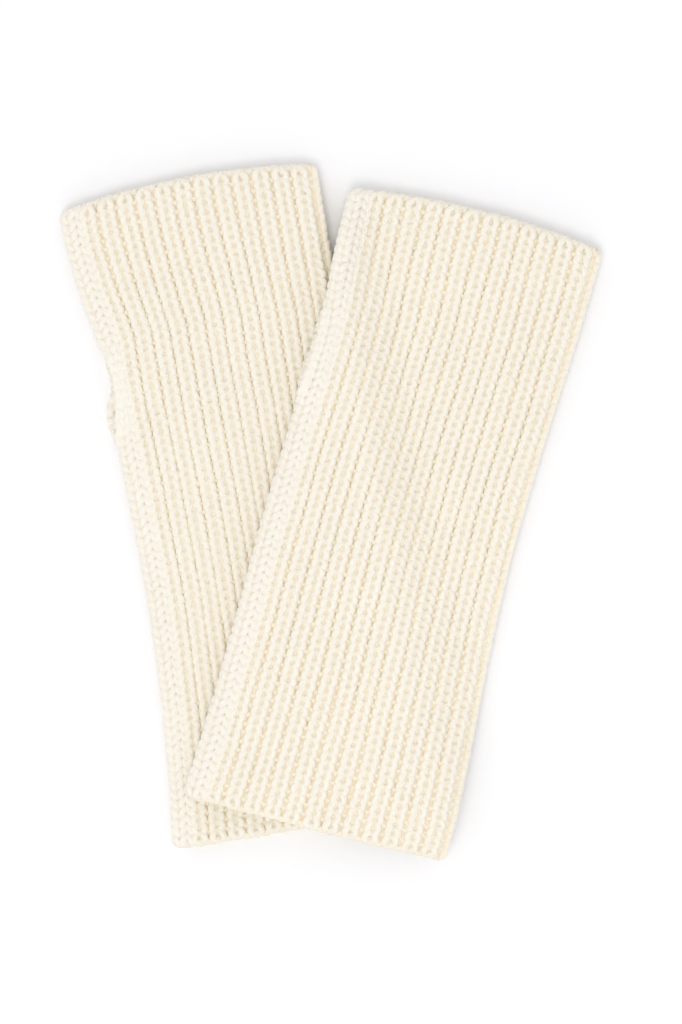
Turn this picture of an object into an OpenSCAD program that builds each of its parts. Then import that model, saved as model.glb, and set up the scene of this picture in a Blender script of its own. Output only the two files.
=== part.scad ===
// A pair of fingerless rib-knit gloves, lying flat in a V with one wrist over the other.
// Each glove is one knitted panel, folded at one side edge and sewn up along the other,
// with a thumb opening left in the seam. +Z is up and +Y runs towards the finger ends.
// The origin is on the table, under the middle of the pair.

/* [Knit] */
// Thickness of one layer of the rib knit
knit_t = 3.2; // [2.4:0.1:4.5]
// Height of the space between the two layers of a glove that lies flat
hollow = 4.8; // [4.4:0.1:8]
// Flat part of the plain-knit selvedge band, beyond the rounded seam edge
band_flat = 2.8; // [1:0.1:8]
// Flat part of the folded edge, beyond its rounding
fold_flat = 1.4; // [0.6:0.1:8]
// Depth of the cast-on and bind-off rims
rim_d = 3.2; // [1.6:0.1:8]
// How far the rims draw in at their outer end
rim_draw = 1.4; // [0.2:0.1:2.5]
// Thickness lost from each face of the rims at their outer end
rim_thin = 0.7; // [0.1:0.1:1]

/* [Thumb opening] */
// Distance from the wrist end to the start of the thumb opening
thumb_at = 149; // [110:1:160]
// Length of the thumb opening along the seam
thumb_len = 37; // [25:1:50]

/* [Lower glove] */
// Length at the two corners
lower_len = 237; // [215:1:270]
// Width at the wrist end
lower_wrist_w = 93.5; // [80:0.5:115]
// Width at the waist, the narrowest place
lower_waist_w = 88; // [78:0.5:110]
// Width at the top of the thumb opening
lower_thumb_w = 90.5; // [78:0.5:112]
// Width at the finger end
lower_finger_w = 97; // [80:0.5:115]
// How far the finger end bows beyond its corners
lower_crown = 4.2; // [0:0.1:8]
// How much higher the finger end is at the fold than at the seam
lower_slant = 2.4; // [-5:0.1:5]
// How far the folded edge bows inwards half way along
lower_fold_in = 0.6; // [0:0.1:8]
// How far the upper lip of the thumb opening is drawn back
lower_notch = 4.2; // [0:0.1:5]

/* [Upper glove] */
// Length at the two corners
upper_len = 229; // [215:1:270]
// Width at the wrist end
upper_wrist_w = 99.5; // [80:0.5:115]
// Width at the waist, from the line between the fold's corners
upper_waist_w = 97; // [78:0.5:112]
// Width at the top of the thumb opening, from the same line
upper_thumb_w = 94.5; // [78:0.5:112]
// Width at the finger end
upper_finger_w = 96.5; // [80:0.5:115]
// How far the finger end bows beyond its corners
upper_crown = 3.8; // [0:0.1:8]
// How much higher the finger end is at the fold than at the seam
upper_slant = 1; // [-5:0.1:5]
// How far the folded edge bows inwards half way along
upper_fold_in = 4; // [0:0.1:8]
// How far the upper lip of the thumb opening is drawn back
upper_notch = 1; // [0:0.1:5]

/* [How the pair lies] */
// Turn of the lower glove, its finger end to the left
lower_tilt = 9.3; // [6:0.1:14]
// Turn of the upper glove, its finger end to the right
upper_tilt = 14.5; // [10:0.1:20]
// From the lower glove's wrist corner at the fold to the upper glove's, sideways
corner_dx = 8.4; // [0:0.1:16]
// The same, towards the wrist ends
corner_dy = 19.2; // [10:0.1:30]
// Space between the lower glove and the upper one that lies on it
lay_gap = 0.3; // [0.2:0.05:1]
// How far the upper glove stays raised beyond the lower glove's edge
drape_hold = 5; // [2:0.5:8]
// Run over which the upper glove then comes down to the table, near the wrist ends
drape_run = 28; // [15:1:45]
// The same run where the two gloves part, near the finger ends
drape_run_top = 15; // [8:1:30]

/* [Yarn] */
// Diameter of the yarn that sews the seam and of the darned-in ends
yarn_d = 1.5; // [1:0.1:2]
// How deep those yarns sink into the knit that they are sewn to
yarn_bite = 0.3; // [0.1:0.05:0.5]
// Length of a darned-in yarn end
tail_len = 42; // [20:1:60]

/* [Hidden] */

ivory = [0.96, 0.92, 0.84];
ivory_band = [0.97, 0.94, 0.88];
ivory_rim = [0.98, 0.95, 0.9];
ivory_yarn = [0.93, 0.88, 0.78];

edge_r = (2 * knit_t + hollow) / 2;   // outer radius of the fold and of the seam edge
bore_r = hollow / 2;                  // inner radius of the same
glove_t = 2 * edge_r;                 // thickness of a whole glove
band_w = edge_r + band_flat;
fold_w = edge_r + fold_flat;
hand_at = thumb_at + thumb_len;
waist_share = 0.6;                    // of the way to the thumb opening
waist_at = thumb_at * waist_share;    // the narrowest place is a little below the thumb
lift = glove_t + lay_gap;             // height of the upper glove where it lies on the lower

arc_n = 6;      // facets round the fold and the seam edge
wrist_n = 11;   // steps along the wrist, from the rim to the thumb opening
thumb_n = 4;    // steps along the thumb opening
hand_n = 4;     // steps along the hand, from the thumb opening to the rim
yarn_n = 8;     // sides of a yarn
tail_n = 4;     // steps along a darned-in end
lip_n = 4;      // facets round the lip of the thumb opening
outline_n = 20; // steps along each side of an outline

notch_skew = 1.4;           // over 1, the notch is deepest beyond the opening's middle
rim_thin_inside = 0.5;      // share of the thinning that the rim's inner face takes
// Stations along a rim: [share of its depth, share of its drawing in and thinning]
rim_stations = [[0, 0], [0.6, 0.2], [1, 1]];

// One glove: [0] length, [1..4] widths at the wrist, waist, thumb and finger end, [5] crown,
// [6] slant, [7] inward bow of the fold, [8] notch, [9] turn, [10] place of the wrist corner
// at the fold, [11] steps across a panel, [12] true where it is draped over the other.
lower = [lower_len, lower_wrist_w, lower_waist_w, lower_thumb_w, lower_finger_w, lower_crown,
         lower_slant, lower_fold_in, lower_notch, lower_tilt, [0, 0], 6, false];
upper = [upper_len, upper_wrist_w, upper_waist_w, upper_thumb_w, upper_finger_w, upper_crown,
         upper_slant, upper_fold_in, upper_notch, -upper_tilt, [corner_dx, -corner_dy], 12, true];

function smooth(x) = let (c = min(max(x, 0), 1)) c * c * (3 - 2 * c);
function turn(p, a) = [p.x * cos(a) - p.y * sin(a), p.x * sin(a) + p.y * cos(a)];

// Distance from the fold's straight line to the seam edge, at distance v from the wrist end
function width_at(g, v) =
  v < waist_at ? g[2] + (g[1] - g[2]) * pow((waist_at - v) / waist_at, 2)
  : v < hand_at ? g[2] + (g[3] - g[2]) * smooth((v - waist_at) / (hand_at - waist_at))
  : g[3] + (g[4] - g[3]) * sin(90 * (v - hand_at) / (g[0] - hand_at));
function fold_in_at(g, v) = g[7] * pow(sin(180 * v / g[0]), 2);
function seam_u(g, v) = -width_at(g, v);
function fold_u(g, v) = -fold_in_at(g, v);

// Rows bow towards the finger end in step with it
function bowed(g, u, v) =
  let (k = (u - seam_u(g, v)) / (fold_u(g, v) - seam_u(g, v)))
  v / g[0] * (g[0] + g[5] * (1 - pow(2 * k - 1, 2)) + g[6] * (k - 0.5));

// Plan position in the pair's own frame, before it is centred
function in_pair(g, u, v) = g[10] + turn([u, bowed(g, u, v)], g[9]);

// Distance of a plan position outside the lower glove's fold edge and wrist end
function off_lower(p) =
  let (q = turn(p, -lower_tilt), du = q.x, dv = -q.y)
  (du > 0 && dv > 0) ? norm([du, dv]) : max(du, dv);
function run_at(p) =
  drape_run_top + (drape_run - drape_run_top) * smooth(1 - turn(p, -lower_tilt).y / thumb_at);
function drape(p) =
  lift * smooth(1 - (off_lower(p) - drape_hold) / run_at(p));

// Outline of the pair, for its centre. The corners draw in with the rims.
function outline(g) = [for (i = [0:outline_n])
  let (v = g[0] * i / outline_n, draw = (i == 0 || i == outline_n) ? rim_draw : 0)
  each [in_pair(g, seam_u(g, v) + draw, v), in_pair(g, fold_u(g, v) - draw, v)]];
function crown_line(g) = [for (u = steps(seam_u(g, g[0]) + rim_draw, -rim_draw, outline_n))
  in_pair(g, u, g[0])];
all_outline = concat(outline(lower), outline(upper), crown_line(lower), crown_line(upper));
xs = [for (p = all_outline) p.x];
ys = [for (p = all_outline) p.y];
middle = [(min(xs) + max(xs)) / 2, (min(ys) + max(ys)) / 2];

// A point of a glove: u across, v along, z above the layer that it lies on
function at(g, u, v, z) =
  let (p = in_pair(g, u, v), base = g[12] ? drape(p) : 0)
  [p.x - middle.x, p.y - middle.y, z + base];

function steps(a, b, n) = [for (i = [0:n]) a + (b - a) * i / n];
function joined(a, b) = concat(a, [for (i = [1:len(b) - 1]) b[i]]);
function wrist_rows() = steps(rim_d, thumb_at, wrist_n);
function thumb_rows() = steps(thumb_at, hand_at, thumb_n);
function hand_rows(g) = steps(hand_at, g[0] - rim_d, hand_n);
function all_rows(g) = joined(joined(wrist_rows(), thumb_rows()), hand_rows(g));

// A solid lofted through rings. The first half of a ring is one side of a thick path and
// the second half is its other side, in reverse order.
module loft(rings) {
  n = len(rings[0]);
  last = (len(rings) - 1) * n;
  walls = [for (j = [0:len(rings) - 2]) for (i = [0:n - 1])
    let (a = j * n + i, b = j * n + (i + 1) % n) each [[a, b, b + n], [a, b + n, a + n]]];
  start_cap = [for (i = [0:n / 2 - 2]) [i, n - 1 - i, n - 2 - i, i + 1]];
  end_cap = [for (q = start_cap) [q[3] + last, q[2] + last, q[1] + last, q[0] + last]];
  polyhedron([for (ring = rings) each ring], concat(walls, start_cap, end_cap));
}

// A loop lofted through closed outer and inner rings of equal length
module loop_loft(outers, inners) {
  n = len(outers[0]);
  rows = len(outers);
  shift = rows * n;
  tube = [for (j = [0:rows - 2]) for (i = [0:n - 1])
    let (a = j * n + i, b = j * n + (i + 1) % n) each [[a, b, b + n], [a, b + n, a + n]]];
  bore = [for (f = tube) [f[2] + shift, f[1] + shift, f[0] + shift]];
  near = [for (i = [0:n - 1]) let (b = (i + 1) % n) [i, i + shift, b + shift, b]];
  far = [for (q = near) [for (k = [3:-1:0]) q[k] + (rows - 1) * n]];
  polyhedron([for (ring = concat(outers, inners)) each ring], concat(tube, bore, near, far));
}

// Section of a rounded side edge: [distance from the edge, height], outer side then inner
function edge_path(r, flat) = concat(
  [[edge_r + flat, edge_r - r]],
  [for (a = steps(0, 180, arc_n)) [edge_r - r * sin(a), edge_r - r * cos(a)]],
  [[edge_r + flat, edge_r + r]]);
function backwards(list) = [for (i = [len(list) - 1:-1:0]) list[i]];
function edge_section(flat) = concat(edge_path(edge_r, flat), backwards(edge_path(bore_r, flat)));

// One layer of rib knit between the seam band and the folded edge, with its lower face at z
module panel(g, z) {
  color(ivory) loft([for (v = all_rows(g))
    let (u0 = seam_u(g, v) + band_w, u1 = fold_u(g, v) - fold_w, across = steps(u0, u1, g[11]))
    concat([for (u = across) at(g, u, v, z + knit_t)],
           [for (u = backwards(across)) at(g, u, v, z)])]);
}
module back_panel(g) { panel(g, knit_t + hollow); }
module palm_panel(g) { panel(g, 0); }

// The rib that wraps round the edge opposite the seam
module fold_edge(g) {
  color(ivory) loft([for (v = all_rows(g)) [for (p = backwards(edge_section(fold_flat)))
    at(g, fold_u(g, v) - p.x, v, p.y)]]);
}

// The plain-knit selvedge band, closed by the seam, over the given rows
module seam_band(g, rows) {
  color(ivory_band) loft([for (v = rows) [for (p = edge_section(band_flat))
    at(g, seam_u(g, v) + p.x, v, p.y)]]);
}
module wrist_seam_band(g) { seam_band(g, wrist_rows()); }
module hand_seam_band(g) { seam_band(g, hand_rows(g)); }

// A free lip of the thumb opening, drawn back by up to notch, with its lower face at z
module thumb_edge(g, z, notch) {
  lip_r = knit_t / 2;
  color(ivory_band) loft([for (v = thumb_rows())
    let (along = (v - thumb_at) / thumb_len,
         lip = seam_u(g, v) + notch * sin(180 * pow(along, notch_skew)) + lip_r,
         root = seam_u(g, v) + band_w,
         above = [for (a = steps(0, 90, lip_n / 2)) [lip - lip_r * cos(a), lip_r * sin(a)]])
    concat([for (p = above) at(g, p.x, v, z + lip_r + p.y)], [at(g, root, v, z + knit_t)],
           [at(g, root, v, z)], [for (p = backwards(above)) at(g, p.x, v, z + lip_r - p.y)])]);
}
module thumb_front_edge(g) { thumb_edge(g, knit_t + hollow, g[8]); }
module thumb_rear_edge(g) { thumb_edge(g, 0, 0); }

// Closed section of the whole glove at row v: a ring at inset from the outer face
function round_loop(g, v, inset, draw) =
  let (r = edge_r - inset, u0 = seam_u(g, v) + draw, u1 = fold_u(g, v) - draw,
       seam_side = [for (a = steps(0, 180, arc_n)) [u0 + edge_r - r * sin(a), edge_r - r * cos(a)]],
       fold_side = [for (a = steps(0, 180, arc_n)) [u1 - edge_r + r * sin(a), edge_r + r * cos(a)]],
       flats = steps(seam_u(g, v) + band_w, fold_u(g, v) - fold_w, g[11]),
       above = [for (u = flats) [u, edge_r + r]],
       below = [for (u = backwards(flats)) [u, edge_r - r]])
  [for (p = concat(seam_side, above, fold_side, below)) at(g, p.x, v, p.y)];

// The cast-on or bind-off edge, a ring whose outer end is drawn in and thinned
module rim(g, from, to) {
  outers = [for (s = rim_stations)
    round_loop(g, from + (to - from) * s[0], rim_thin * s[1], rim_draw * s[1])];
  inners = [for (s = rim_stations)
    round_loop(g, from + (to - from) * s[0], knit_t - rim_thin * rim_thin_inside * s[1],
               rim_draw * s[1])];
  color(ivory_rim)
    if (to > from) loop_loft(outers, inners);
    else loop_loft(backwards(outers), backwards(inners));
}
module finger_rim(g) { rim(g, g[0] - rim_d, g[0]); }
module wrist_rim(g) { rim(g, rim_d, 0); }

// A yarn that runs along the seam, its middle at distance du from the edge and height z
module seam_strand(g, rows, du, z) {
  color(ivory_yarn) loft([for (v = rows) [for (i = [0:yarn_n - 1]) let (a = -360 * (i + 0.5) / yarn_n)
    at(g, seam_u(g, v) + du + yarn_d / 2 * cos(a), v, z + yarn_d / 2 * sin(a))]]);
}
module seam_yarn(g, rows) { seam_strand(g, rows, knit_t + yarn_d / 2 - yarn_bite, edge_r); }
module wrist_seam_yarn(g) { seam_yarn(g, wrist_rows()); }
module hand_seam_yarn(g) { seam_yarn(g, hand_rows(g)); }

// The two ends of the knitting yarn, darned in along the seam on the palm layer's inner face
module yarn_tails(g) {
  du = band_w + yarn_d / 2;
  z = knit_t + yarn_d / 2 - yarn_bite;
  seam_strand(g, steps(rim_d, rim_d + tail_len, tail_n), du, z);
  seam_strand(g, steps(g[0] - rim_d - tail_len, g[0] - rim_d, tail_n), du, z);
}

back_panel(lower);  // lower_back_panel
palm_panel(lower);  // lower_palm_panel
fold_edge(lower);  // lower_fold_edge
hand_seam_band(lower);  // lower_hand_seam_band
wrist_seam_band(lower);  // lower_wrist_seam_band
thumb_front_edge(lower);  // lower_thumb_front_edge
thumb_rear_edge(lower);  // lower_thumb_rear_edge
finger_rim(lower);  // lower_finger_rim
wrist_rim(lower);  // lower_wrist_rim
hand_seam_yarn(lower);  // lower_hand_seam_yarn
wrist_seam_yarn(lower);  // lower_wrist_seam_yarn
yarn_tails(lower);  // lower_yarn_tails
back_panel(upper);  // upper_back_panel
palm_panel(upper);  // upper_palm_panel
fold_edge(upper);  // upper_fold_edge
hand_seam_band(upper);  // upper_hand_seam_band
wrist_seam_band(upper);  // upper_wrist_seam_band
thumb_front_edge(upper);  // upper_thumb_front_edge
thumb_rear_edge(upper);  // upper_thumb_rear_edge
finger_rim(upper);  // upper_finger_rim
wrist_rim(upper);  // upper_wrist_rim
hand_seam_yarn(upper);  // upper_hand_seam_yarn
wrist_seam_yarn(upper);  // upper_wrist_seam_yarn
yarn_tails(upper);  // upper_yarn_tails
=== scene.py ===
"""Looks of a pair of fingerless rib-knit gloves that lie flat in a V on a pale floor.

Each glove is knitted here stitch by stitch from one yarn: a row runs from the seam over the back
layer, round the fold and along the palm layer to the seam again, and turns into the next row.
Lengths are in millimetres until a mesh is made.
"""
from dataclasses import dataclass

import bpy
import numpy as np
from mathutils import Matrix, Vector


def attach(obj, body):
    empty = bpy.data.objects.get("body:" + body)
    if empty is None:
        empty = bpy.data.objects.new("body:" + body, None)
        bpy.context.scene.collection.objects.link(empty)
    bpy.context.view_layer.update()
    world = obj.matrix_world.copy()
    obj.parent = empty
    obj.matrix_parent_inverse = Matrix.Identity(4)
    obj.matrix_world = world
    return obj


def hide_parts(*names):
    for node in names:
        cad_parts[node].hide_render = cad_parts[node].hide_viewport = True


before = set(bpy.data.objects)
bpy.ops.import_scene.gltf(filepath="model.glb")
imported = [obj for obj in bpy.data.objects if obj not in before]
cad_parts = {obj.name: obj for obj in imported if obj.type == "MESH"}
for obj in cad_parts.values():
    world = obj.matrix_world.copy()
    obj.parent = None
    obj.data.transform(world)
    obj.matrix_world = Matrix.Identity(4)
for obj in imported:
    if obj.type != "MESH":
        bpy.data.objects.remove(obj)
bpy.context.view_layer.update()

MM = 0.001
SEED = 7

# ---------------------------------------------------------------- sizes that the CAD model has too
KNIT_T = 3.2
HOLLOW = 4.8
BAND_FLAT = 2.8
FOLD_FLAT = 1.4
RIM_D = 3.2
RIM_DRAW = 1.4
THUMB_AT = 149.0
THUMB_LEN = 37.0
LAY_GAP = 0.3
DRAPE_HOLD = -3.0       # the knit comes down sooner and more gently than the stiff CAD solid
DRAPE_RUN = 36.0
DRAPE_RUN_TOP = 23.0
CORNER_DX = 8.4
CORNER_DY = 19.2

EDGE_R = (2 * KNIT_T + HOLLOW) / 2      # outer radius of the fold and of the seam edge
BAND_W = EDGE_R + BAND_FLAT
HAND_AT = THUMB_AT + THUMB_LEN
WAIST_AT = THUMB_AT * 0.6
LIFT = 2 * EDGE_R + LAY_GAP

# ---------------------------------------------------------------- the knit
YARN_R = 1.47           # radius of the knitting yarn
SEAM_YARN_R = 0.75      # radius of the sewing yarn and of the darned-in ends
ROW_PITCH = 3.32
END_ROW = 3.2           # from an end of the glove to the middle of the nearest row
LOOP_H = 1.25           # height of a loop, in rows
MID_R = 3.4             # from the middle of the glove to the middle of a layer's thickness
RIBS = 25               # ribs round a glove, the middle one on the fold
ROLL_W = 3.1            # width of the rolled stitch next to the seam
FIRST_RIB = 2.4         # from the band's edge to the middle of the first rib
THREAD_DEPTH = 1.4      # middle depth of a yarn that isn't knitted, which sets how much painted shade the material gives it

SIDES = 7               # sides of a yarn
RINGS = 14              # rings along the yarn of one stitch
TURN_RINGS = 4          # rings along half a turn at an end of a row
TURN_OUT = 0.5          # how far a turn stands out from the seam

# spreads of the random unevenness, in millimetres unless said otherwise
SWAY = 0.12             # of a stitch along its row
DIP = 0.10              # of a stitch into the knit
SLIP = 0.16             # of a stitch across its row
WANDER = 0.35           # of neighbouring stitches together
THICKER = 0.035         # of the yarn's radius over many stitches, as a share of it
UNEVEN = 0.045          # of the yarn's radius from point to point, as a share of it


@dataclass
class Glove:
    """Sizes and place of one glove, as the CAD model has them."""
    name: str
    length: float
    widths: tuple       # at the wrist, waist, thumb and finger end
    crown: float
    slant: float
    fold_in: float
    notch: float
    tilt: float
    corner: tuple       # place of the wrist corner at the fold
    draped: bool

    @property
    def body(self):
        return self.name + "_glove"


LOWER = Glove("lower", 237.0, (93.5, 88.0, 90.5, 97.0), 4.2, 2.4, 0.6, 4.2, 9.3, (0.0, 0.0), False)
UPPER = Glove("upper", 229.0, (99.5, 97.0, 94.5, 96.5), 3.8, 1.0, 4.0, 1.0, -14.5,
              (CORNER_DX, -CORNER_DY), True)


# ---------------------------------------------------------------- shape of a glove
def smooth(x):
    c = np.clip(x, 0, 1)
    return c * c * (3 - 2 * c)


def turn(x, y, degrees):
    a = np.radians(degrees)
    return x * np.cos(a) - y * np.sin(a), x * np.sin(a) + y * np.cos(a)


def seam_u(g, v):
    """Across place of the seam edge, at distance v from the wrist end. The fold's line is 0."""
    wrist, waist, thumb, finger = g.widths
    low = waist + (wrist - waist) * ((WAIST_AT - v) / WAIST_AT) ** 2
    middle = waist + (thumb - waist) * smooth((v - WAIST_AT) / (HAND_AT - WAIST_AT))
    high = thumb + (finger - thumb) * np.sin(np.pi / 2 * (v - HAND_AT) / (g.length - HAND_AT))
    return -np.where(v < WAIST_AT, low, np.where(v < HAND_AT, middle, high))


def fold_u(g, v):
    return -g.fold_in * np.sin(np.pi * v / g.length) ** 2


def in_pair(g, u, v):
    """Plan place before the pair is centred. Rows bow towards the finger end in step with it."""
    left = seam_u(g, v)
    k = (u - left) / (fold_u(g, v) - left)
    bowed = v / g.length * (g.length + g.crown * (1 - (2 * k - 1) ** 2) + g.slant * (k - 0.5))
    x, y = turn(u, bowed, g.tilt)
    return x + g.corner[0], y + g.corner[1]


def drape(x, y):
    """Height of the upper glove's lower face: it lies on the lower glove and then on the table."""
    qx, qy = turn(x, y, -LOWER.tilt)
    across, below = qx, -qy
    off = np.where((across > 0) & (below > 0), np.hypot(across, below), np.maximum(across, below))
    run = DRAPE_RUN_TOP + (DRAPE_RUN - DRAPE_RUN_TOP) * smooth(1 - qy / THUMB_AT)
    return LIFT * smooth(1 - (off - DRAPE_HOLD) / run)


def outline(g):
    count = 21
    steps = np.linspace(0, 1, count)
    v = g.length * steps
    draw = np.where((steps == 0) | (steps == 1), RIM_DRAW, 0)
    end = np.full(count, g.length)
    left = seam_u(g, end) + RIM_DRAW
    sides = [(seam_u(g, v) + draw, v), (fold_u(g, v) - draw, v),
             (left + (-RIM_DRAW - left) * steps, end)]
    return np.concatenate([np.stack(in_pair(g, *side), 1) for side in sides])


OUTLINE = np.concatenate([outline(LOWER), outline(UPPER)])
MIDDLE = (OUTLINE.min(0) + OUTLINE.max(0)) / 2


def place(g, u, v, z):
    """World place in millimetres of a point of the glove, z above the layer that it lies on."""
    x, y = in_pair(g, u, v)
    base = drape(x, y) if g.draped else 0
    return np.stack([x - MIDDLE[0], y - MIDDLE[1], z + base], -1)


ARC = MID_R * np.pi / 2     # length of the mid surface round a quarter of the seam edge
NEAR_END_MOST = 1.2         # stitches a little past the end are drawn in a little more
RIM_THINNER = 0.3           # share of its thickness that the knit loses at an end
RIM_INWARDS = 0.35          # how far its middle comes nearer to the glove's middle there
THUMB_RAMP = 9.0            # length over which the seam opens at either end of the thumb opening
THUMB_PAST = 2.0            # how far past both ends of the thumb opening the seam still parts
NOTCH_SKEW = 1.4            # over 1, the notch is deepest nearer to the finger end
NOTCH_FULL = 0.6            # under 1, the notch is deep over most of its length
NOTCH_MOST = 1.3            # most that a place past the edge is drawn in, as a share of the notch
REAR_LIP_FROM = 0.3         # share of the thumb opening up to which the rear lip isn't drawn in
REAR_LIP_RAMP = 0.25        # share over which it then comes to lie under the front lip


def near_end(g, v):
    """0 in the middle of the glove, rising to 1 at either end over the depth of its rim."""
    from_end = np.minimum(v, g.length - v)
    return np.clip(1 - from_end / RIM_D, 0, NEAR_END_MOST) ** 1.5


def edges(g, v):
    draw = RIM_DRAW * near_end(g, v)
    return seam_u(g, v) + draw, fold_u(g, v) - draw


def girth(g, v):
    """Length of the mid surface round the glove, from the seam back to the seam."""
    left, right = edges(g, v)
    return 2 * (right - left - 2 * EDGE_R) + 4 * ARC


def thumb_open(v):
    """How far the seam edge is open: 1 along the thumb opening, 0 where it is sewn."""
    return (smooth((v - THUMB_AT + THUMB_PAST) / THUMB_RAMP)
            * smooth((HAND_AT + THUMB_PAST - v) / THUMB_RAMP))


def round_glove(g, s, rho, v):
    """World place at distance s round the glove from the seam, rho from its middle plane."""
    left, right = edges(g, v)
    around = girth(g, v)
    on_back = s < around / 2
    t = np.where(on_back, s, around - s)
    rim = near_end(g, v)
    rho = MID_R + (rho - MID_R) * (1 - RIM_THINNER * rim) - RIM_INWARDS * rim

    least_bend = 1e-4       # of a lip, which lies all but flat: it mustn't divide by zero
    bend = np.maximum(1 - thumb_open(v), least_bend) / MID_R
    e = ARC - t
    edge_in_u = left + EDGE_R - np.sin(bend * e) / bend - (rho - MID_R) * np.sin(bend * e)
    edge_in_z = MID_R - (1 - np.cos(bend * e)) / bend + (rho - MID_R) * np.cos(bend * e)
    along = np.clip((v - THUMB_AT) / THUMB_LEN, 0, 1)
    notch = g.notch * np.sin(np.pi * along ** NOTCH_SKEW) ** NOTCH_FULL
    drawn = notch * np.clip(1 - t / BAND_W, 0, NOTCH_MOST)
    drawn = drawn * np.where(on_back, 1, smooth((along - REAR_LIP_FROM) / REAR_LIP_RAMP))
    edge_in_u = edge_in_u + drawn

    flat = right - left - 2 * EDGE_R
    fold_a = np.clip((t - ARC - flat) / MID_R, 0, np.pi / 2)
    on_edge = t < ARC
    on_fold = t > ARC + flat
    u = np.where(on_edge, edge_in_u,
                 np.where(on_fold, right - EDGE_R + rho * np.sin(fold_a),
                          left + EDGE_R + t - ARC + drawn))
    dz = np.where(on_edge, edge_in_z, np.where(on_fold, rho * np.cos(fold_a), rho))
    return place(g, u, v, EDGE_R + np.where(on_back, dz, -dz))


def outward_along(g, s, rho, v):
    """World places of a path, and the unit vectors that point out of the knit there."""
    step = 0.1
    places = round_glove(g, s, rho, v)
    outward = round_glove(g, s, rho + step, v) - places
    return places, outward / np.linalg.norm(outward, axis=-1, keepdims=True)


# ---------------------------------------------------------------- stitches
@dataclass
class Wale:
    """One column of stitches, between two places given as (millimetres, rib pitches)."""
    start: tuple
    end: tuple
    legs: tuple         # from the middle to a leg: near the foot, half way and near the head
    leg: float          # height of the legs, from the middle of the glove
    head: float         # height of the head
    start_z: float      # height where the yarn comes in
    end_z: float        # height where it leaves


RIB_FRONT = EDGE_R - YARN_R
RIB_BACK = 2 * MID_R - RIB_FRONT
RIB_LEGS = (1.05, 1.85, 1.55)
BAND_LEGS = (0.7, 1.2, 1.4)
ROLL_LEGS = (0.4, 0.7, 0.9)
RIB_HEAD = 3.4          # heights of the loops' heads
GAP_HEAD = 2.9
BAND_HEAD = 2.9
ROLL_HEAD = 3.0
CROSSING = 2.9          # heights of the yarn where it crosses between a rib and a groove,
BAND_CROSSING = 3.3     # in the band
SEAM_CROSSING = 2.4     # and at the seam
SOON = 0.75             # under 1, a leg stands proud nearer to the loop's foot than to its head
FIRST = ARC + BAND_FLAT + FIRST_RIB


def wales_of_half():
    """Wales over the back layer: the seam's roll, the band, then ribs and gaps up to the fold.

    The last rib lies on the fold, and the gap past it belongs to the palm layer.
    """
    half = [
        Wale((0, 0), (ROLL_W, 0), ROLL_LEGS, RIB_FRONT, ROLL_HEAD, SEAM_CROSSING, BAND_CROSSING),
        Wale((ROLL_W, 0), (FIRST, -0.25), BAND_LEGS, RIB_FRONT, BAND_HEAD, BAND_CROSSING,
             BAND_CROSSING)]
    for k in range(RIBS // 2 + 1):
        from_z = BAND_CROSSING if k == 0 else CROSSING
        half.append(Wale((FIRST, k - 0.25), (FIRST, k + 0.25), RIB_LEGS, RIB_FRONT, RIB_HEAD,
                         from_z, CROSSING))
        half.append(Wale((FIRST, k + 0.25), (FIRST, k + 0.75), RIB_LEGS, RIB_BACK, GAP_HEAD,
                         CROSSING, CROSSING))
    return half[:-1]


def mirrored(wale):
    """The same wale on the palm layer."""
    far = (2 * FIRST, RIBS - 1)
    start = (far[0] - wale.end[0], far[1] - wale.end[1])
    end = (far[0] - wale.start[0], far[1] - wale.start[1])
    return Wale(start, end, wale.legs, wale.leg, wale.head, wale.end_z, wale.start_z)


HALF = wales_of_half()
WALES = HALF + [mirrored(w) for w in reversed(HALF[:-1])]
BAND_WALES = 2
FOLD_WALE = len(HALF) - 1


def rib_pitch(g, v):
    return (girth(g, v) - 2 * FIRST) / (RIBS - 1)


def eased(start, end, t):
    return start + (end - start) * (1 - np.cos(np.pi * np.clip(t, 0, 1))) / 2


def sideways_along(wale, theta, width):
    """Place of the yarn across the wale, from its start: a wave that passes through the legs."""
    near_foot, half_way, near_head = wale.legs
    total = half_way - width / 4
    difference = (near_foot + near_head - width / 2) / np.sqrt(2)
    first, third = (total + difference) / 2, (total - difference) / 2
    second = 3 * width / 8 - near_foot + difference / np.sqrt(2)
    return (width * theta / (2 * np.pi) - first * np.sin(theta) + second * np.sin(2 * theta)
            + third * np.sin(3 * theta))


def height_along(wale, theta):
    """Height of the yarn: soon up the first leg, slowly over to the head, and the same back."""
    quarter = theta / (np.pi / 2)
    into_half = np.minimum(quarter, 4 - quarter)
    ends = np.where(quarter < 2, wale.start_z, wale.end_z)
    rising = eased(ends, wale.leg, np.clip(into_half, 0, 1) ** SOON)
    return np.where(into_half < 1, rising,
                    eased(wale.leg, wale.head, np.clip(into_half - 1, 0, 1) ** (1 / SOON)))


def row_places(g):
    rows = int(round((g.length - 2 * END_ROW) / ROW_PITCH)) + 1
    return np.linspace(END_ROW, g.length - END_ROW, rows)


def wander(rng, rows, columns, waves=5):
    """A smooth random field over rows and points of a row, within about -1 to 1."""
    total = np.zeros((rows, columns))
    j = np.arange(rows)[:, None] / rows
    i = np.arange(columns)[None, :] / columns
    for _ in range(waves):
        fx, fy, phase = rng.uniform(1, 9), rng.uniform(-6, 6), rng.uniform(0, 2 * np.pi)
        total += np.sin(2 * np.pi * (fx * i + fy * j) + phase) / waves
    return total


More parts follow.
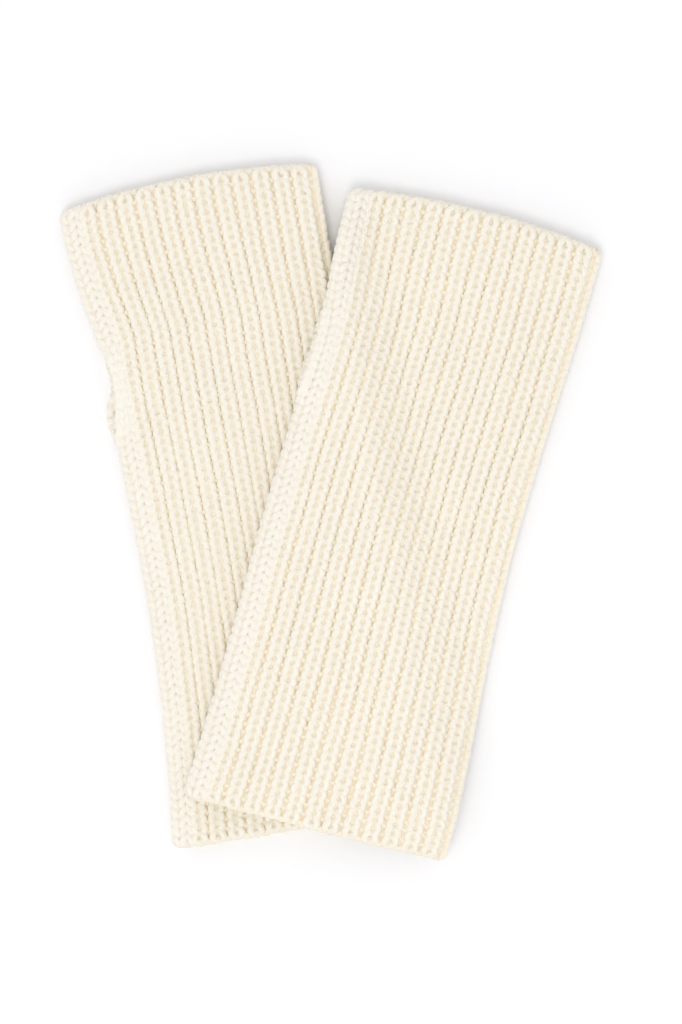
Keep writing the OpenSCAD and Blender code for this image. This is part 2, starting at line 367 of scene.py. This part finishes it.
def knitted_rows(g):
    """Middles of the rows, their paths (rows, points, 3), outward directions and heights."""
    rng = np.random.default_rng(SEED + len(g.name) + int(g.length))
    centres = row_places(g)
    rows = len(centres)
    pitch = centres[1] - centres[0]
    height = LOOP_H * pitch
    theta = 2 * np.pi * np.arange(RINGS) / RINGS
    s_parts, v_parts, rho_parts = [], [], []
    for wale in WALES:
        v = centres[:, None] + height / 2 * np.cos(theta)[None, :]
        p = rib_pitch(g, v)
        a, b = (c[0] + c[1] * p for c in (wale.start, wale.end))
        window = np.sin(theta / 2)[None, :] ** 2
        sway, dip, slip = (rng.normal(0, x, (rows, 1)) * window for x in (SWAY, DIP, SLIP))
        s_parts.append(a + sideways_along(wale, theta, b - a) + sway)
        v_parts.append(v + slip)
        rho_parts.append(height_along(wale, theta)[None, :] - np.abs(dip))
    s, v, rho = (np.concatenate(parts, 1) for parts in (s_parts, v_parts, rho_parts))
    s = s + WANDER * wander(rng, rows, s.shape[1])
    v = v + WANDER * wander(rng, rows, s.shape[1])
    s, v, rho = add_turns(s, v, rho, pitch)
    places, outward = outward_along(g, s, rho, v)
    return centres, places, outward, rho


def add_turns(s, v, rho, pitch):
    """Adds half a turn at each end of a row, which meets the turn of the next or last row."""
    steps = np.arange(1, TURN_RINGS + 1) / TURN_RINGS * np.pi / 2
    rows = np.arange(len(s))[:, None]
    ends = []
    for end, way in ((0, -1), (-1, 1)):
        side = np.where((rows % 2 == 0) == (way > 0), 1, -1)
        side = np.where((rows + side < 0) | (rows + side >= len(s)), 0, side)
        ds = way * TURN_OUT * np.sin(steps)[None, :]
        dv = side * pitch / 2 * (1 - np.cos(steps))[None, :]
        ends.append((s[:, [end]] + ds, v[:, [end]] + dv, rho[:, [end]] + 0 * ds))
    before = [part[:, ::-1] for part in ends[0]]
    return tuple(np.concatenate(parts, 1) for parts in zip(before, (s, v, rho), ends[1]))


# ---------------------------------------------------------------- meshes
def tube_vertices(paths, radius, sides, outward):
    """Rings round each path (rows, points, 3), turned as little as possible from ring to ring."""
    rng = np.random.default_rng(SEED)
    tangent = np.gradient(paths, axis=1)
    tangent /= np.linalg.norm(tangent, axis=-1, keepdims=True)
    normal = np.empty_like(paths)
    last = outward[:, 0]
    for i in range(paths.shape[1]):
        t = tangent[:, i]
        last = last - (last * t).sum(-1, keepdims=True) * t
        last = last / np.linalg.norm(last, axis=-1, keepdims=True)
        normal[:, i] = last
    across = np.cross(tangent, normal)
    a = 2 * np.pi * np.arange(sides) / sides
    ring = (normal[:, :, None] * np.cos(a)[:, None] + across[:, :, None] * np.sin(a)[:, None])
    facing = (ring * outward[:, :, None]).sum(-1)
    uneven = rng.normal(1, UNEVEN, facing.shape)[..., None]
    return paths[:, :, None] + radius[..., None, None] * uneven * ring, facing


def length_along(paths):
    step = np.linalg.norm(np.diff(paths, axis=1), axis=-1)
    return np.concatenate([np.zeros((len(paths), 1)), np.cumsum(step, 1)], 1)


def tubes_object(name, rings, depth, along, cap=None):
    """A mesh of tubes from rings (tubes, points, sides, 3), with its maps and attributes.

    The cap lists the faces that close an end, by place in the ring; left out, it is one face.
    """
    tubes, points, sides, _ = rings.shape
    cap = np.arange(sides)[None] if cap is None else cap
    index = np.arange(tubes * points * sides).reshape(tubes, points, sides)
    here, there = index[:, :-1], index[:, 1:]
    quads = np.stack([here, np.roll(here, -1, 2), np.roll(there, -1, 2), there], -1).reshape(-1, 4)
    caps = np.concatenate([index[:, 0, cap[:, ::-1]], index[:, -1, cap]])
    cap_starts = quads.size + np.arange(0, caps.size, caps.shape[-1])
    corners = np.concatenate([quads.ravel(), caps.ravel()])
    starts = np.concatenate([np.arange(0, quads.size, 4), cap_starts])

    mesh = bpy.data.meshes.new(name)
    mesh.vertices.add(index.size)
    mesh.vertices.foreach_set("co", (rings * MM).astype(np.float32).ravel())
    mesh.loops.add(len(corners))
    mesh.loops.foreach_set("vertex_index", corners.astype(np.int32))
    mesh.polygons.add(len(starts))
    mesh.polygons.foreach_set("loop_start", starts.astype(np.int32))
    mesh.update(calc_edges=True)
    mesh.shade_smooth()

    tube_i, ring_i, side_i = np.meshgrid(*(np.arange(n) for n in (tubes, points - 1, sides)),
                                         indexing="ij")
    side_step = np.array([0, 1, 1, 0])
    ring_step = np.array([0, 0, 1, 1])
    ring_at = ring_i.reshape(-1, 1) + ring_step
    side_at = side_i.reshape(-1, 1) + side_step
    tube_at = np.repeat(tube_i.reshape(-1, 1), 4, 1)
    yarn = np.stack([along[tube_at, ring_at], side_at / sides], -1)
    gap = 0.05              # left free along both sides of a tube's strip, as a share of it
    across = gap + (1 - 2 * gap) * side_at / sides
    strip = np.stack([(ring_at + 0.5) / points, (tube_at + across) / tubes], -1)
    add_map(mesh, "Yarn", yarn, caps.size)
    add_map(mesh, "OFBake", strip, caps.size)
    attribute = mesh.attributes.new("depth", "FLOAT", "POINT")
    attribute.data.foreach_set("value", depth.astype(np.float32).ravel())
    piece = bpy.data.objects.new(name, mesh)
    bpy.context.scene.collection.objects.link(piece)
    return piece


def add_map(mesh, name, places, cap_corners):
    """A UV map. The caps, which lie inside the neighbouring piece, share its first corner."""
    flat = places.reshape(-1, 2)
    flat = np.concatenate([flat, np.repeat(flat[:1], cap_corners, 0)])
    layer = mesh.uv_layers.new(name=name)
    layer.data.foreach_set("uv", flat.astype(np.float32).ravel())


def finished(piece, g, material, slot, *nodes):
    piece.data.materials.append(material)
    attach(piece, g.body)
    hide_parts(*(g.name + "_" + n for n in nodes))
    return piece


def depth_at(level):
    """Depth under the nearer face of the knit, at a distance from the glove's middle plane."""
    return np.minimum(EDGE_R - level, level - (2 * MID_R - EDGE_R))


def knit_pieces(g, materials):
    """Cuts the knitted rows into the pieces that stand for the CAD nodes."""
    centres, paths, outward, rho = knitted_rows(g)
    rng = np.random.default_rng(SEED + 1)
    radius = YARN_R * (1 + THICKER * wander(rng, *paths.shape[:2], waves=9))
    rings, facing = tube_vertices(paths, radius, SIDES, outward)
    # depth of each point under the knit's face, which the material turns into painted shade: tan and
    # darker the deeper the point lies
    depth = depth_at(rho[..., None] + YARN_R * facing)
    along = length_along(paths)
    every = np.arange(len(centres))
    wrist = every[centres < THUMB_AT]
    thumb = every[(centres >= THUMB_AT) & (centres < HAND_AT)]
    hand = every[centres >= HAND_AT]

    def cut(name, rows, first, last, material, slot, *nodes):
        start = 0 if first == 0 else TURN_RINGS + first * RINGS
        meeting = 1         # a ring more, where the next piece starts
        stop = paths.shape[1] if last == len(WALES) else TURN_RINGS + last * RINGS + meeting
        part = np.ix_(rows, np.arange(start, stop))
        piece = tubes_object(g.name + "_" + name, rings[part], depth[part], along[part])
        return finished(piece, g, materials[material], slot, *nodes)

    middle = (BAND_WALES + FOLD_WALE) // 2
    count = len(WALES)
    fold = (FOLD_WALE, FOLD_WALE + 1)
    back = ("rib", "rib_knit", "back_panel")
    palm = ("rib", "rib_knit", "palm_panel")
    cut("back_ribs_seam_side", every, BAND_WALES, middle, *back)
    cut("back_ribs_fold_side", every, middle, fold[0], *back)
    cut("fold_rib", every, *fold, "rib", "rib_knit", "fold_edge")
    cut("palm_ribs_fold_side", every, fold[1], count - middle, *palm)
    cut("palm_ribs_seam_side", every, count - middle, count - BAND_WALES, *palm)
    for side, first, last in (("back", 0, BAND_WALES), ("palm", count - BAND_WALES, count)):
        band = ("band", "selvedge_knit")
        cut("wrist_band_" + side, wrist, first, last, *band, "wrist_seam_band")
        cut("hand_band_" + side, hand, first, last, *band, "hand_seam_band")
        lip = "thumb_front_edge" if side == "back" else "thumb_rear_edge"
        cut("thumb_lip_" + side, thumb, first, last, *band, lip)


def rib_wave(g, s, v):
    """1 in the middle of a rib and in the seam band, and -1 in the middle of a groove."""
    phase = np.clip((s - FIRST) / rib_pitch(g, v), 0, RIBS - 1)
    return np.cos(2 * np.pi * phase)


def fuzz_core(g, material):
    """The matted fibres half way through the knit, which close the holes between stitches, coloured
    with painted shade: tan, and darkest in the grooves.
    """
    across = 360
    down = 60
    from_end = 1.3
    from_seam = 0.004       # share of the girth
    half_t = 0.3
    outwards = 0.2
    wave = 0.25
    painted_shade_depth = 0.6               # added to the depth so that the material gives the core more painted shade, tan; the painted shade is paler higher up
    rows = np.linspace(from_end, g.length - from_end, down)[:, None]
    s = np.linspace(from_seam, 1 - from_seam, across)[None, :] * girth(g, rows)
    rows = rows + 0 * s
    middle = MID_R + outwards + wave * rib_wave(g, s, rows)
    levels = [middle + side * half_t for side in (1, -1)]
    faces = [round_glove(g, s, level, rows) for level in levels]
    depths = [depth_at(level) + painted_shade_depth for level in levels]
    rings, depth = (np.concatenate([pair[0], pair[1][:, ::-1]], 1)[None] for pair in (faces, depths))
    here = np.arange(across - 1)
    cap = np.stack([here, here + 1, 2 * across - 2 - here, 2 * across - 1 - here], -1)
    piece = tubes_object(g.name + "_fuzz_core", rings, depth, rows[None, :, 0], cap)
    nodes = ("back_panel", "palm_panel", "fold_edge", "hand_seam_band", "wrist_seam_band")
    return finished(piece, g, material, "rib_knit", *nodes)


def ring_path(g, v_at, count):
    """Places round the whole glove at one row, in and out with the ribs."""
    middle = 3.2
    wave = 0.4
    f = np.arange(count) / count
    v = np.full(count, v_at)
    s = f * girth(g, v)
    return s, middle + wave * rib_wave(g, s, v), v


def lip_roll(g, side, material):
    """The selvedge of a lip of the thumb opening, which rolls in to a soft edge."""
    rings_along = 160
    sides = 12
    past_end = 3            # the roll runs on past both ends of the opening, inside the band
    thin = 0.7              # radius at its ends
    knobbly = 0.13          # how far its radius follows the rows, as a share of it
    from_edge, inwards, spread = (0.6, 0.9, 1.0) if side == "front" else (0.5, 1.2, 1.6)
    steps = np.linspace(0, 1, rings_along)
    v = THUMB_AT - past_end + (THUMB_LEN + 2 * past_end) * steps
    s = from_edge + 0 * v if side == "front" else girth(g, v) - from_edge
    path, outward = outward_along(g, s, MID_R - inwards + 0 * v, v)
    radius = thin + spread * np.sin(np.pi * steps) ** 0.5
    radius = radius * (1 + knobbly * np.cos(2 * np.pi * v / ROW_PITCH))
    rings, facing = tube_vertices(path[None], radius[None], sides, outward[None])
    # painted shade: the roll's side that faces out of the knit gets the light colour, and the side
    # that faces in is painted a little darker and tan
    piece = tubes_object(g.name + "_thumb_lip_roll_" + side, rings, 0.5 - 0.5 * facing,
                         length_along(path[None]))
    return finished(piece, g, material, "selvedge_knit", "thumb_" + side + "_edge")


def rope(g, v_at, name, node, material):
    """The cast-on or bind-off edge: two strands twisted round each other, about once a stitch."""
    strands = 2
    twist_rings = 9
    strand_r = 0.8
    turn_r = 0.62
    turns = 2 * RIBS + 6
    count = turns * twist_rings
    s, rho, v = ring_path(g, v_at, count)
    angle = 2 * np.pi * np.arange(count) / twist_rings
    strand = np.pi * np.arange(strands)[:, None]
    places, outward = outward_along(g, s, rho + turn_r * np.cos(angle + strand),
                                    v + turn_r * np.sin(angle + strand))
    paths, outward = (np.concatenate([part, part[:, :1]], 1) for part in (places, outward))
    rings, facing = tube_vertices(paths, np.full(paths.shape[:2], strand_r), SIDES, outward)
    # painted shade: a strand's side that faces into the knit is given more depth, so the material
    # paints it darker and tan
    depth = THREAD_DEPTH - strand_r * facing
    piece = tubes_object(g.name + "_" + name, rings, depth, length_along(paths))
    return finished(piece, g, material, "rim_knit", node)


def sewn_strand(g, name, node, spans, du, z, sway, material):
    """A thin yarn that runs along the seam over the given spans, swaying from side to side."""
    paths = []
    rows = int(round((spans[0][1] - spans[0][0]) / ROW_PITCH))
    points = 4 * rows + 1
    for start, stop in spans:
        v = np.linspace(start, stop, points)
        phase = np.pi * (v - start) / ROW_PITCH
        u = seam_u(g, v) + du + sway[0] * np.sin(phase)
        paths.append(place(g, u, v, z + sway[1] * np.cos(phase)))
    paths = np.stack(paths)
    outs = np.zeros_like(paths)
    outs[..., 2] = 1
    rings, facing = tube_vertices(paths, np.full(paths.shape[:2], SEAM_YARN_R), SIDES, outs)
    # painted shade: the yarn's underside, which faces down, is given more depth, so the material
    # paints it darker and tan
    piece = tubes_object(g.name + "_" + name, rings, THREAD_DEPTH - facing, length_along(paths))
    return finished(piece, g, material, "seam_yarn", node)


def seam_pieces(g, material):
    """The two seam yarns and the darned-in ends, inside the glove."""
    inside = 4.3            # from the seam edge to the seam yarn
    tail = 42.0
    tail_in = BAND_W + 1
    tail_z = EDGE_R - 0.3
    mattress = (0.3, 1.1)   # sways across and up
    weave = (0.5, 0.15)
    end = g.length - RIM_D
    sewn_strand(g, "wrist_seam_stitches", "wrist_seam_yarn", [(RIM_D, THUMB_AT)], inside, EDGE_R,
                mattress, material)
    sewn_strand(g, "hand_seam_stitches", "hand_seam_yarn", [(HAND_AT, end)], inside, EDGE_R,
                mattress, material)
    sewn_strand(g, "darned_ends", "yarn_tails", [(RIM_D, RIM_D + tail), (end - tail, end)],
                tail_in, tail_z, weave, material)


# ---------------------------------------------------------------- materials
def node(tree, kind, inputs=None, **settings):
    """Adds a node. An input that is a socket is linked and any other is set."""
    made = tree.nodes.new(kind)
    for key, value in settings.items():
        setattr(made, key, value)
    for key, value in (inputs or {}).items():
        if isinstance(value, bpy.types.NodeSocket):
            tree.links.new(value, made.inputs[key])
        else:
            made.inputs[key].default_value = value
    return made


def maths(tree, operation, *values):
    return node(tree, "ShaderNodeMath", dict(enumerate(values)), operation=operation).outputs[0]


def mixed_colour(tree, factor, a, b, blend="MIX"):
    return node(tree, "ShaderNodeMix", {0: factor, 6: a, 7: b}, data_type="RGBA",
                blend_type=blend).outputs[2]


def wool(name, light, painted_shade):
    """Soft woollen yarn with twisted plies and fine fibres, and painted shade: paler where it stands
    proud, tan and darker deep in the knit.
    """
    proud, deepest = 0.35, 2.3  # depths under the knit's face with the light colour and with the full painted shade colour
    plies = 3
    twist = 0.75                # radians a millimetre
    fibre_stretch = 0.22        # fibres run along the yarn, so their noise is stretched that way
    material = bpy.data.materials.new(name)
    material.use_nodes = True
    tree = material.node_tree
    shader = tree.nodes["Principled BSDF"]
    split = node(tree, "ShaderNodeSeparateXYZ",
                 {0: node(tree, "ShaderNodeUVMap", uv_map="Yarn").outputs[0]})
    along, around = split.outputs[0], split.outputs[1]
    angle = maths(tree, "MULTIPLY_ADD", along, twist, maths(tree, "MULTIPLY", around, 2 * np.pi))
    thread = node(tree, "ShaderNodeCombineXYZ", {
        0: maths(tree, "MULTIPLY", along, fibre_stretch),
        1: maths(tree, "COSINE", angle), 2: maths(tree, "SINE", angle)}).outputs[0]
    fibres = node(tree, "ShaderNodeTexNoise", {
        "Vector": thread, "Scale": 5.0, "Detail": 3.0, "Roughness": 0.65}).outputs["Fac"]
    ply = maths(tree, "ABSOLUTE", maths(tree, "SINE", maths(tree, "MULTIPLY", angle, plies / 2)))
    relief = maths(tree, "MULTIPLY_ADD", fibres, 0.9, maths(tree, "MULTIPLY", ply, 0.5))
    bump = node(tree, "ShaderNodeBump", {"Strength": 0.7, "Distance": 0.0004, "Height": relief})

    # Painted shade: over the depth attribute, the colour goes from the light colour where the yarn
    # stands proud to the tan shade colour deep in the knit.
    depth = node(tree, "ShaderNodeAttribute", attribute_name="depth").outputs["Fac"]
    deep = node(tree, "ShaderNodeMapRange", {
        "Value": depth, "From Min": proud, "From Max": deepest}).outputs[0]
    colour = mixed_colour(tree, deep, light, painted_shade)
    places = node(tree, "ShaderNodeTexCoord").outputs["Object"]
    cloudy = node(tree, "ShaderNodeTexNoise", {
        "Vector": places, "Scale": 38.0, "Detail": 2.0}).outputs["Fac"]
    tone = maths(tree, "ADD", maths(tree, "MULTIPLY", cloudy, 0.04),
                 maths(tree, "MULTIPLY_ADD", fibres, 0.05, 0.955))
    grey = node(tree, "ShaderNodeCombineColor", {0: tone, 1: tone, 2: tone}).outputs[0]
    colour = mixed_colour(tree, 1.0, colour, grey, "MULTIPLY")
    tree.links.new(colour, shader.inputs["Base Color"])
    tree.links.new(bump.outputs[0], shader.inputs["Normal"])
    shader.inputs["Roughness"].default_value = 0.95
    shader.inputs["Specular IOR Level"].default_value = 0.15
    shader.inputs["Sheen Weight"].default_value = 0.12
    shader.inputs["Sheen Roughness"].default_value = 0.6
    return material


def floor_material():
    """Plain white paper-like ground with a faint unevenness."""
    material = bpy.data.materials.new("pale_floor")
    material.use_nodes = True
    tree = material.node_tree
    shader = tree.nodes["Principled BSDF"]
    places = node(tree, "ShaderNodeTexCoord").outputs["Object"]
    cloudy = node(tree, "ShaderNodeTexNoise", {"Vector": places, "Scale": 3.0}).outputs["Fac"]
    colour = mixed_colour(tree, cloudy, (0.955, 0.955, 0.965, 1), (0.975, 0.975, 0.98, 1))
    tree.links.new(colour, shader.inputs["Base Color"])
    shader.inputs["Roughness"].default_value = 0.9
    shader.inputs["Specular IOR Level"].default_value = 0.1
    return material


# ---------------------------------------------------------------- stage, in metres
def add_floor():
    """A floor that lies just under the lowest stitches."""
    half = 3.0
    under = 0.0002
    mesh = bpy.data.meshes.new("floor")
    mesh.from_pydata([(-half, -half, 0), (half, -half, 0), (half, half, 0), (-half, half, 0)], [],
                     [(0, 1, 2, 3)])
    mesh.materials.append(floor_material())
    floor = bpy.data.objects.new("floor", mesh)
    floor.location.z = -under
    bpy.context.scene.collection.objects.link(floor)


def aim(thing, target):
    thing.rotation_euler = (Vector(target) - thing.location).to_track_quat("-Z", "Y").to_euler()


def add_light(name, location, size, power, colour):
    data = bpy.data.lights.new(name, "AREA")
    data.size = size
    data.energy = power
    data.color = colour
    light = bpy.data.objects.new(name, data)
    light.location = location
    bpy.context.scene.collection.objects.link(light)
    aim(light, (0, 0, 0))


def add_lights():
    """A soft key from the wrist ends and the left, and a bright even surround."""
    add_light("key", (-0.2, -0.5, 1.8), 0.6, 8.5, (1.0, 0.97, 0.93))
    world = bpy.data.worlds.new("surround")
    world.use_nodes = True
    background = world.node_tree.nodes["Background"]
    background.inputs["Color"].default_value = (0.96, 0.97, 1.0, 1)
    background.inputs["Strength"].default_value = 0.88
    bpy.context.scene.world = world
    bpy.context.scene.view_settings.view_transform = "Standard"


def add_camera():
    """Straight overhead, a little right of the pair's middle, with floor all round the pair."""
    field = 0.374           # metres seen along the image's long side, half way up a glove
    height = 1.3
    right = 0.00365
    data = bpy.data.cameras.new("camera")
    data.sensor_width = 36.0
    data.lens = data.sensor_width * (height - EDGE_R * MM) / field
    camera = bpy.data.objects.new("camera", data)
    camera.location = (right, 0, height)
    bpy.context.scene.collection.objects.link(camera)
    bpy.context.scene.camera = camera


def build():
    # Each wool gets its own colour, for where it stands proud, and a painted shade colour, tan, for
    # deep in the knit.
    materials = {
        "rib": wool("rib_wool", (0.985, 0.93, 0.81, 1), (0.97, 0.87, 0.68, 1)),
        "band": wool("selvedge_wool", (0.985, 0.935, 0.83, 1), (0.965, 0.89, 0.75, 1)),
        "rim": wool("rim_wool", (0.985, 0.935, 0.83, 1), (0.965, 0.89, 0.75, 1)),
        "sewing": wool("sewing_wool", (0.93, 0.86, 0.74, 1), (0.93, 0.85, 0.70, 1))}
    rope_in = 1.3
    for g in (LOWER, UPPER):
        knit_pieces(g, materials)
        fuzz_core(g, materials["rib"])
        lip_roll(g, "front", materials["band"])
        lip_roll(g, "rear", materials["band"])
        rope(g, g.length - rope_in, "cast_on_edge", "finger_rim", materials["rim"])
        rope(g, rope_in, "bind_off_edge", "wrist_rim", materials["rim"])
        seam_pieces(g, materials["sewing"])


add_camera()
add_floor()
add_lights()
build()
